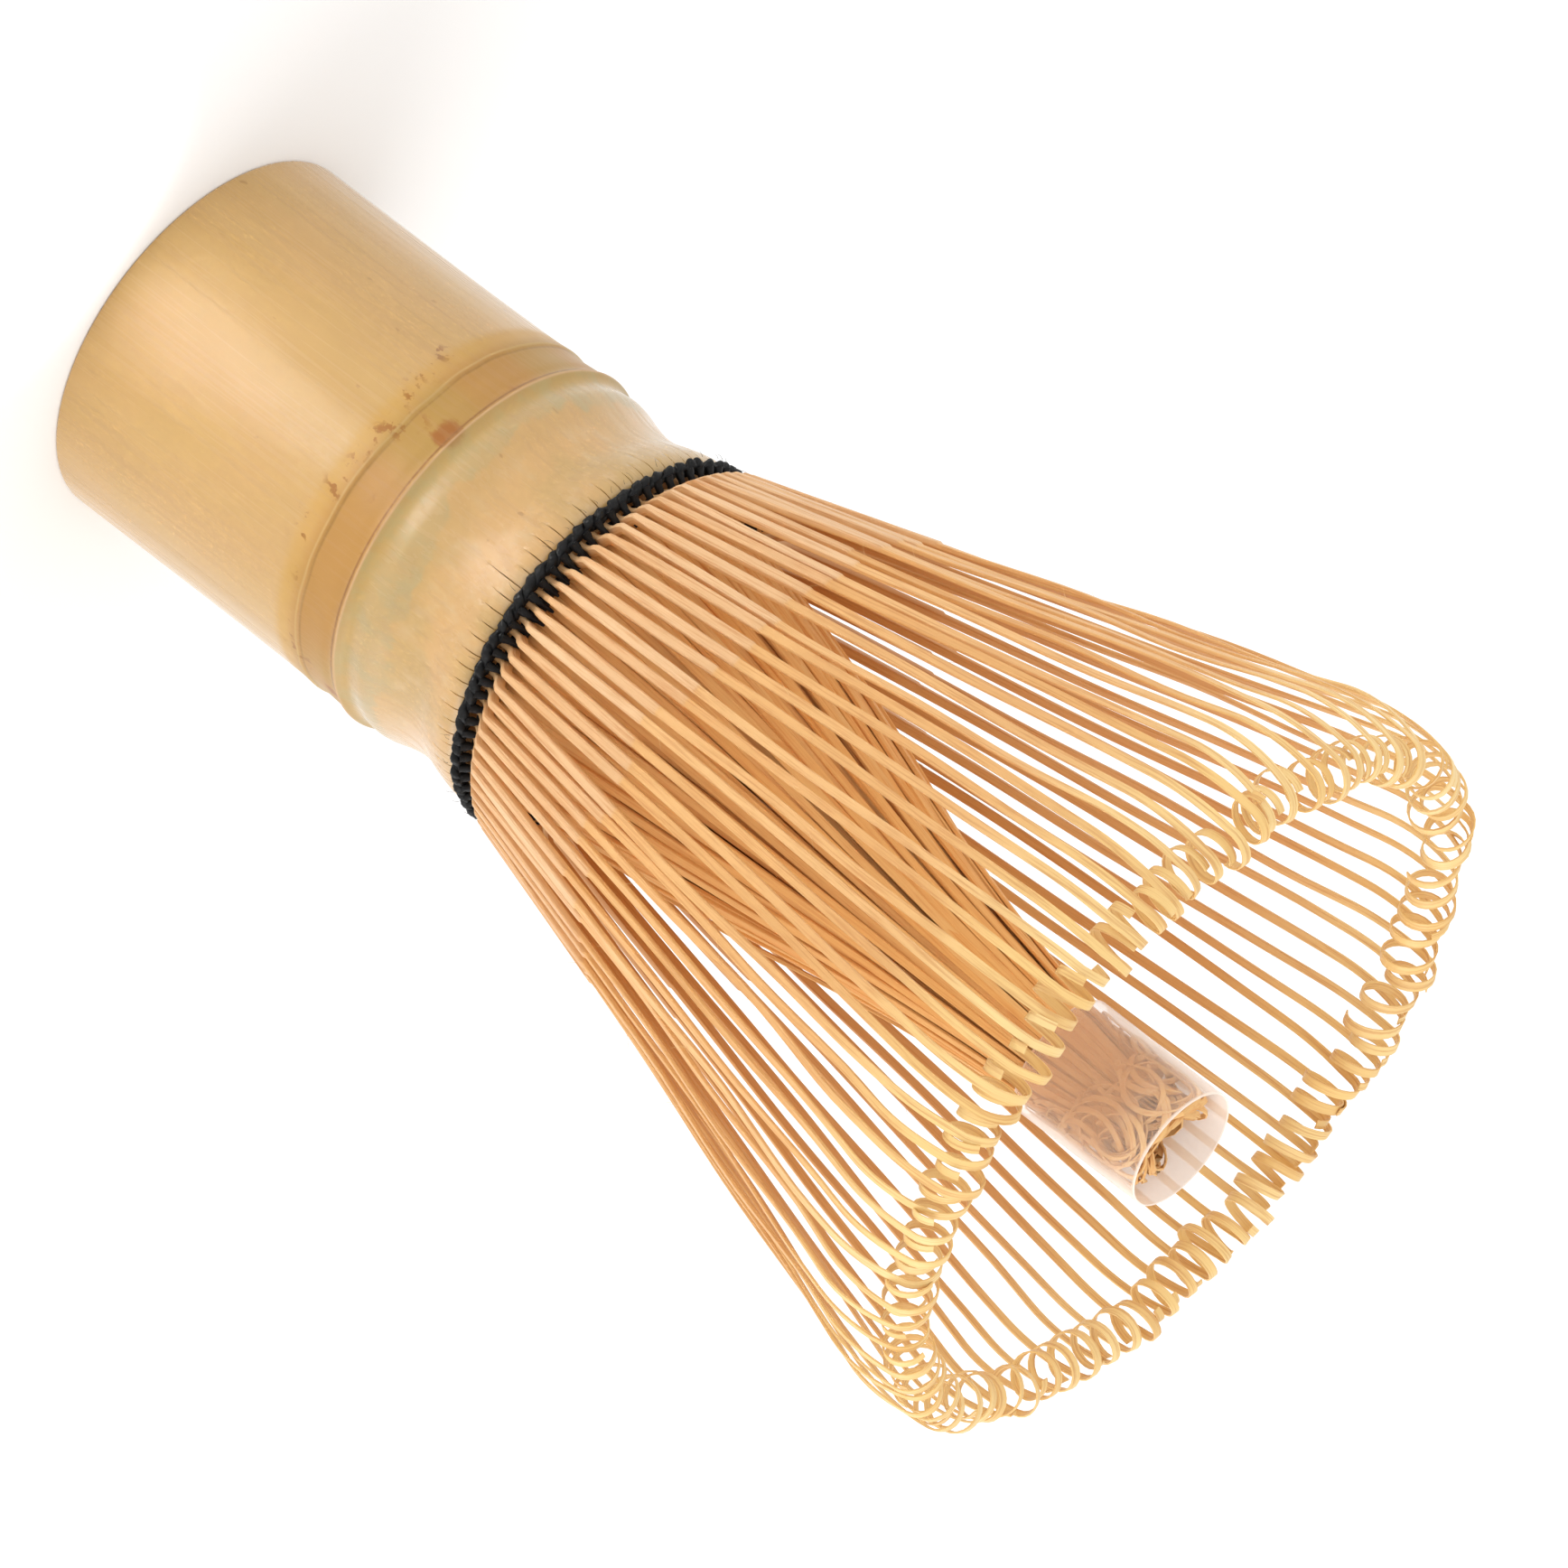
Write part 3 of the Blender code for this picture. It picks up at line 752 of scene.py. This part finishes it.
def outer_tine(azimuth, end_of_group, draw):
    """One outer tine: its mesh with its marks, and its centre line."""
    loose = 0.5 if end_of_group else 1.0
    line, share, around, below = outer_line(azimuth, loose, draw)
    width, thickness = outer_section(share, around, below, draw)
    side = round_axis(0, -1, 0, azimuth)
    outward = unit(np.cross(along(line), side))
    tilt = draw.gauss(0, 0.15) * loose * smoothstep(share, 0.05, 0.4)
    across = side * np.cos(tilt)[:, None] + outward * np.sin(tilt)[:, None]
    skin = PEEL_THICKNESS * below
    centre = line + outward * ((skin - thickness) / 2)[:, None]
    points, faces, sideways, out = strip(centre, across, width, thickness + skin)
    length = np.concatenate([[0], np.cumsum(np.linalg.norm(np.diff(centre, axis=0), axis=1))])
    marks = {
        "grain": grain_marks(sideways, out, length, draw.uniform(0, 1), draw.uniform(0, 1)),
        "tone": np.full(len(points), draw.random()),
        "outside": (out > 0).astype(float),
        "peel": np.repeat(below, STRIP_SIDES),
        "tip": np.repeat(smoothstep(share, 0.72, 1.0), STRIP_SIDES),
    }
    return (points, faces, marks), centre


def splinter(base, direction, lean, length, thickness):
    """A thin curved fibre that stands off a tine."""
    share = np.linspace(0, 1, 6)[:, None]
    centre = base + direction * share * length + lean * share**2 * length * 0.4
    radius = thickness * (1 - 0.8 * share[:, 0])
    points, faces, _ = cord(centre, lean, radius, sides=4)
    fill = np.ones(len(points))
    marks = {
        "grain": points + base,
        "tone": fill * 0.2,
        "outside": fill,
        "peel": fill,
        "tip": fill * 0.6,
    }
    return points, faces, marks


def loose_splinter(centre, azimuth, draw):
    """A splinter somewhere on the straight part of an outer tine."""
    index = draw.randrange(*SPLINTER_STATIONS)
    direction = unit(centre[index + 1] - centre[index])
    turn = draw.uniform(-0.8, 0.8)
    lean = round_axis(math.cos(turn), math.sin(turn), 0.3, azimuth)
    direction = direction * draw.choice((-1, 1)) + 0.25 * lean
    length = draw.uniform(0.8, 2.2) * MM
    return splinter(centre[index], direction, lean, length, draw.uniform(0.018, 0.03) * MM)


def make_outer_tines(material):
    for wedge in range(WEDGES):
        draw = random.Random(100 + wedge)
        shapes = []
        for tine in range(TINES_PER_WEDGE):
            step = tine - (TINES_PER_WEDGE - 1) / 2
            azimuth = (wedge * TINES_PER_WEDGE + step) * TINE_ANGLE
            shape, centre = outer_tine(azimuth, abs(step) > 1.5, draw)
            shapes.append(shape)
            for _ in range(draw.choice((0, 1, 1, 2))):
                shapes.append(loose_splinter(centre, azimuth, draw))
        number = f"{wedge + 1:02d}"
        name = f"curled_tines_{number}"
        mesh = build_mesh(name, shapes)
        body = f"outer_group_{number}"
        add_piece(name, mesh, material, body, "bamboo_outer_tine", f"outer_tines_{number}")


# Inner tines

def inner_shaft(azimuth, bundle_radius, bundle_azimuth, draw):
    """An inner tine from its root to the foot of the tube: its points, and how far up each one is."""
    rise = np.linspace(0, 1, SHAFT_STATIONS)
    root_height = ROOT_TOP - 1.5 * MM
    share = rise - 0.045 * np.sin(TURN * rise)
    root = round_axis(INNER_ROOT_RADIUS - 0.35 * MM, 0, 0, azimuth)
    end = round_axis(bundle_radius, 0, 0, bundle_azimuth) + TUBE_AXIS
    shaft = root + (end - root) * share[:, None]
    belly = np.sin(math.pi * rise)
    side = round_axis(0, -1, 0, azimuth)
    outward = round_axis(1, 0, 0, azimuth)
    shaft = shaft + side * (draw.gauss(0, 0.22 * MM) * belly)[:, None]
    ripple = np.sin(rise * draw.uniform(6, 14) + draw.uniform(0, TURN)) * draw.uniform(0.03, 0.15) * MM
    shaft = shaft + outward * ((draw.gauss(0, 0.25 * MM) + ripple) * belly)[:, None]
    shaft[:, 2] = root_height + (TUBE_LOW.z - 0.4 * MM - root_height) * rise
    return shaft, rise


def inner_loop(bundle_radius, bundle_azimuth, ring, draw):
    """An inner tine in the tube: its straight rise, its loop, the loop's phase and its hand."""
    loop_radius = draw.uniform(1.9, 3.0) * MM
    depth = bundle_radius * math.sin(bundle_azimuth) + TUBE_RADIUS
    drop = draw.choice((0.3, 0.4, 1.0, 3.2)) * draw.uniform(0, 1) * MM + 0.2 * depth + max(0, depth - 4 * MM)
    loop_height = LOOP_TOP - drop - loop_radius
    climb = np.linspace(TUBE_LOW.z, loop_height, RISE_STATIONS + 1)[1:]
    drawn_in = bundle_radius * (1 - 0.3 * smoothstep(np.linspace(0, 1, RISE_STATIONS + 1)[1:]))
    straight = round_axis(drawn_in, 0, climb, bundle_azimuth)
    turns = draw.uniform(0.5, 1.0)
    phase = np.linspace(0, turns * TURN, int(turns * 18) + 2)[1:]
    hand = draw.choice((-1, 1))
    wall = TUBE_RADIUS - (draw.uniform(0.5, 1.2) + 1.2 * ring) * MM
    loop_bundle = drawn_in[-1] + (wall - drawn_in[-1]) * smoothstep(phase / math.pi)
    loop_azimuth = bundle_azimuth + hand * loop_radius * (1 - np.cos(phase)) / wall
    loop = round_axis(loop_bundle, 0, loop_height + loop_radius * np.sin(phase), loop_azimuth)
    return straight + TUBE_AXIS, loop + TUBE_AXIS, phase, hand


def inner_tine(azimuth, ring, spread, draw):
    """One inner tine, from its root to its loop in the clear tube."""
    bundle_radius = min(BUNDLE_RADII[ring] + draw.uniform(-0.35, 0.3) * MM, TUBE_RADIUS - 0.75 * MM)
    bundle_azimuth = azimuth + spread + draw.gauss(0, 0.05)
    shaft, rise = inner_shaft(azimuth, bundle_radius, bundle_azimuth, draw)
    straight, loop, phase, hand = inner_loop(bundle_radius, bundle_azimuth, ring, draw)
    centre = np.concatenate([shaft, straight, loop])
    turning = smoothstep(np.linspace(0, 1, RISE_STATIONS))
    turned = np.concatenate([0 * rise, turning, 1 + 0 * phase])[:, None]
    looped = round_axis(hand * draw.uniform(0.5, 1), -draw.uniform(0.2, 0.8), 0.4, bundle_azimuth)
    across = round_axis(0, -1, 0, azimuth) * (1 - turned) + looped * turned
    stations = np.concatenate([rise, 1 + np.linspace(0.05, 0.3, RISE_STATIONS), 1.3 + phase / TURN])
    width = np.interp(stations, [0, 0.3, 0.7, 1, 1.3], [0.66, 0.76, 0.7, 0.52, 0.44]) * MM
    width = width * draw.uniform(0.88, 1.12)
    thickness = np.interp(stations, [0, 0.3, 1, 1.3, 2.5], [0.55, 0.4, 0.24, 0.17, 0.12]) * MM
    points, faces, sideways, out = strip(centre, across, width, thickness)
    marks = {
        "grain": grain_marks(sideways, out, stations * 0.05, draw.uniform(0, 1)),
        "tone": np.full(len(points), draw.random()),
        "tip": np.repeat(smoothstep(stations, 0.9, 1.3), STRIP_SIDES),
    }
    return points, faces, marks


def make_inner_tines(material):
    for wedge in range(WEDGES):
        draw = random.Random(300 + wedge)
        shapes = []
        for tine in range(INNER_TINES_PER_WEDGE):
            ring = tine % 2
            step = tine - (INNER_TINES_PER_WEDGE - 1) / 2
            azimuth = (wedge * INNER_TINES_PER_WEDGE + step) * INNER_ANGLE
            spread = step * INNER_ANGLE * (BUNDLE_SPREADS[ring] - 1)
            shapes.append(inner_tine(azimuth, ring, spread, draw))
        number = f"{wedge + 1:02d}"
        name = f"gathered_tines_{number}"
        mesh = build_mesh(name, shapes)
        add_piece(name, mesh, material, "whisk", "bamboo_inner_tine", f"inner_tines_{number}")


# Thread

def chain_strand(side, draw):
    """One of the two strands of the chain that the thread makes round the neck, a bump to a tine."""
    twists = TINES // 2
    turn = np.arange(twists * 16) * TURN / (twists * 16)
    waver = 0.5 * np.sin(7 * turn + draw.uniform(0, 6)) + 0.45 * np.sin(19 * turn + draw.uniform(0, 6))
    phase = twists * turn + side * math.pi + waver
    height = (LOWER_ROUND_LOW.z + UPPER_ROUND_HIGH.z) / 2 - 0.03 * MM
    height = height + CHAIN_HEIGHT * np.sin(phase) + 0.06 * MM * (np.sin(5 * turn) + np.sin(17 * turn))
    radius = LOWER_ROUND_HIGH.x - CHAIN_STRAND_RADIUS - CHAIN_DEPTH + CHAIN_DEPTH * np.cos(phase)
    knuckles = 0.24 * np.cos(2 * phase) * (1 + 0.6 * np.sin(9 * turn + side))
    lumps = 0.06 * np.sin(11 * turn + side) + 0.07 * np.sin(31 * turn + 2 * side)
    swell = CHAIN_STRAND_RADIUS * (0.96 + knuckles + lumps)
    centre = round_axis(radius, 0, height, turn)
    lean = round_axis(1, 0, 0, turn)
    return cord(centre, lean, swell, sides=18, lobes=3, lobe_depth=0.12, twist=twists * 3, closed=True)


def core_ring():
    """The thread behind the chain, between the outer and the inner tines."""
    turn = np.arange(TINES * 4) * TURN / (TINES * 4)
    weave = TINES // 2 * turn
    radius = CORE_RADIUS + 0.1 * MM * np.cos(weave)
    height = UPPER_ROUND_HIGH.z - 0.1 * MM + 0.12 * MM * np.sin(weave)
    lean = round_axis(1, 0, 0, turn)
    return cord(round_axis(radius, 0, height, turn), lean, CORE_STRAND_RADIUS, sides=10, closed=True)


def tine_dips(draw):
    """Short bights of thread that pass inwards through each gap between the outer tines."""
    share = np.linspace(0, 1, 10)
    shapes = []
    for tine in range(TINES):
        azimuth = (tine + 0.5) * TINE_ANGLE
        radius = UPPER_ROUND_HIGH.x - 0.35 * MM - 1.3 * MM * share
        height = UPPER_ROUND_LOW.z + (0.1 + share * draw.uniform(1.2, 1.9)) * MM
        centre = round_axis(radius, draw.uniform(-0.05, 0.05) * MM, height, azimuth)
        size = draw.uniform(0.36, 0.42) * MM * (1 - 0.75 * share)
        shapes.append(cord(centre, UPWARDS, size, sides=8, lobes=2, lobe_depth=0.12, twist=3))
    return shapes


def fuzz(draw):
    """Loose fibres that stand off the thread."""
    share = np.linspace(0, 1, 6)
    shapes = []
    for _ in range(FUZZ_FIBRES):
        azimuth = draw.uniform(0, TURN)
        length = draw.uniform(0.3, 0.8) * MM
        up = draw.choice((-1, -1, 1))
        curl = draw.uniform(-1.5, 1.5)
        radius = LOWER_ROUND_HIGH.x - 0.05 * MM + length * 0.35 * np.sin(share * 2)
        height = LOWER_ROUND_HIGH.z + 0.2 * MM + up * (0.6 * MM + length * share)
        centre = round_axis(radius, length * curl * share**2 * 0.6, height, azimuth)
        lean = round_axis(1, 0, 0, azimuth)
        shapes.append(cord(centre, lean, 0.018 * MM * (1 - 0.6 * share), sides=4))
    return shapes


def make_thread(material):
    draw = random.Random(7)
    for side, place in enumerate(("lower", "upper")):
        name = f"chain_strand_{place}"
        strand = build_mesh(name, [chain_strand(side, draw)])
        add_piece(name, strand, material, "whisk", "black_thread", f"thread_round_{place}", sharp=70)
    dips = build_mesh("thread_between_tines", tine_dips(draw) + [core_ring()])
    add_piece("thread_between_tines", dips, material, "whisk", "black_thread", sharp=70)
    loose = build_mesh("thread_fuzz", fuzz(draw))
    add_piece("thread_fuzz", loose, material, "whisk", "black_thread", sharp=70)


# Tube

def rim_rows(start, end, steps, height):
    """(radius, height, rim) round the tube's rounded rim, whose middle is at a height."""
    half = TUBE_WALL / 2
    middle = TUBE_RADIUS - half
    turns = np.linspace(start, end, steps)
    return [(middle + half * math.cos(turn), height + half * math.sin(turn), 1) for turn in turns]


def make_tube(material):
    """The thin tube, slightly oval at its mouth, with rounded rims."""
    foot = TUBE_LOW.z + TUBE_WALL / 2
    mouth = TUBE_HIGH.z - TUBE_WALL / 2
    walls = np.linspace(TUBE_LOW.z + TUBE_RIM_HEIGHT, TUBE_HIGH.z - TUBE_RIM_HEIGHT, 16)
    rows = rim_rows(-math.pi / 2, 0, 5, foot)[1:]
    rows += [(TUBE_RADIUS, height, 0) for height in walls]
    rows += rim_rows(0, math.pi, 9, mouth)
    rows += [(TUBE_RADIUS - TUBE_WALL, height, 0) for height in walls[::-1]]
    rows += rim_rows(math.pi, 1.5 * math.pi, 5, foot)
    radii, heights, rims = np.array(rows).T
    sides = 96
    turn = np.arange(sides) * TURN / sides
    up = smoothstep(heights, TUBE_LOW.z, TUBE_HIGH.z)[:, None]
    oval = 1 - MOUTH_SQUEEZE * up * (1 + np.cos(2 * (turn - 0.9))) / 2
    points = round_axis(radii[:, None] * oval, 0, heights[:, None], turn) + TUBE_AXIS
    faces = [face[::-1] for face in ring_faces(len(rows), sides, closed=True)]
    # Painted backlight: milkier on the back side, away from the camera, rising to full at half way up
    painted_backlight = smoothstep(np.sin(turn), -0.35, 0.5) * smoothstep(heights, TUBE_LOW.z, TUBE_CENTRE.z)[:, None]
    shape = (points.reshape(-1, 3), faces, {"rim": np.repeat(rims, sides), "painted_backlight": painted_backlight.ravel()})
    mesh = build_mesh("frosted_tube", [shape])
    add_piece("frosted_tube", mesh, material, "tube", "clear_tube", "tip_tube", sharp=60)


# Stage

def make_floor():
    size = 6.0
    mesh = bpy.data.meshes.new("floor")
    corners = [(-size, -size, 0), (size, -size, 0), (size, size, 0), (-size, size, 0)]
    mesh.from_pydata(corners, [], [(0, 1, 2, 3)])
    floor = bpy.data.objects.new("floor", mesh)
    paper = Recipe("white_paper")
    paper.set(Base_Color=(0.95, 0.95, 0.95, 1), Roughness=0.95)
    mesh.materials.append(paper.material)
    bpy.context.scene.collection.objects.link(floor)


def make_light(name, azimuth, elevation, distance, size, power, target=(0, 0, 0.05), spread=180):
    """An area light that looks at a target. Azimuth 0 is on -Y, where the camera stands."""
    light = bpy.data.lights.new(name, "AREA")
    light.shape = "RECTANGLE"
    light.size, light.size_y = size
    light.energy = power
    light.spread = math.radians(spread)
    lamp = bpy.data.objects.new(name, light)
    azimuth, elevation = math.radians(azimuth), math.radians(elevation)
    level = math.cos(elevation)
    back = Vector((math.sin(azimuth) * level, -math.cos(azimuth) * level, math.sin(elevation)))
    lamp.location = Vector(target) + back * distance
    lamp.rotation_euler = back.to_track_quat("Z", "Y").to_euler()
    lamp.visible_camera = False
    bpy.context.scene.collection.objects.link(lamp)


def make_lights():
    world = bpy.data.worlds.new("studio")
    world.use_nodes = True
    background = world.node_tree.nodes["Background"]
    background.inputs["Color"].default_value = (1, 1, 1, 1)
    background.inputs["Strength"].default_value = 1.05
    bpy.context.scene.world = world
    make_light("front", azimuth=0, elevation=28, distance=1.2, size=(0.9, 0.7), power=1.25)
    make_light("key", azimuth=-68, elevation=22, distance=1.2, size=(0.9, 0.7), power=0.75)
    make_light("fill", azimuth=102, elevation=20, distance=1.2, size=(1.3, 0.9), power=7.8)
    # A narrow beam on the floor before the handle, which the satin skin mirrors as a soft stripe
    make_light(
        "floor_glow", azimuth=4, elevation=60, distance=0.22, size=(0.012, 0.07), power=0.062,
        target=(0.004, -0.07, 0), spread=6
    )


def make_camera():
    """Looks down at the whisk from its front, rolled so that the tines point to the lower right."""
    camera = bpy.data.cameras.new("camera")
    camera.sensor_width = SENSOR_WIDTH
    camera.lens = CAMERA_LENS
    camera.clip_start = 0.05
    camera.clip_end = 20
    back = Vector((0, -math.cos(CAMERA_ELEVATION), math.sin(CAMERA_ELEVATION)))
    level = Vector((1, 0, 0))
    upright = Vector((0, math.sin(CAMERA_ELEVATION), math.cos(CAMERA_ELEVATION)))
    right = math.cos(CAMERA_ROLL) * level + math.sin(CAMERA_ROLL) * upright
    turned = Matrix((right, back.cross(right), back)).transposed().to_4x4()
    holder = bpy.data.objects.new("camera", camera)
    holder.matrix_world = Matrix.Translation(CAMERA_PLACE) @ turned
    bpy.context.scene.collection.objects.link(holder)
    bpy.context.scene.camera = holder


def main():
    make_handle(skin_material())
    make_outer_tines(outer_material())
    make_inner_tines(inner_material())
    make_thread(thread_material())
    make_tube(tube_material())
    make_floor()
    make_lights()
    make_camera()
    bpy.context.scene.view_settings.view_transform = "Standard"


main()
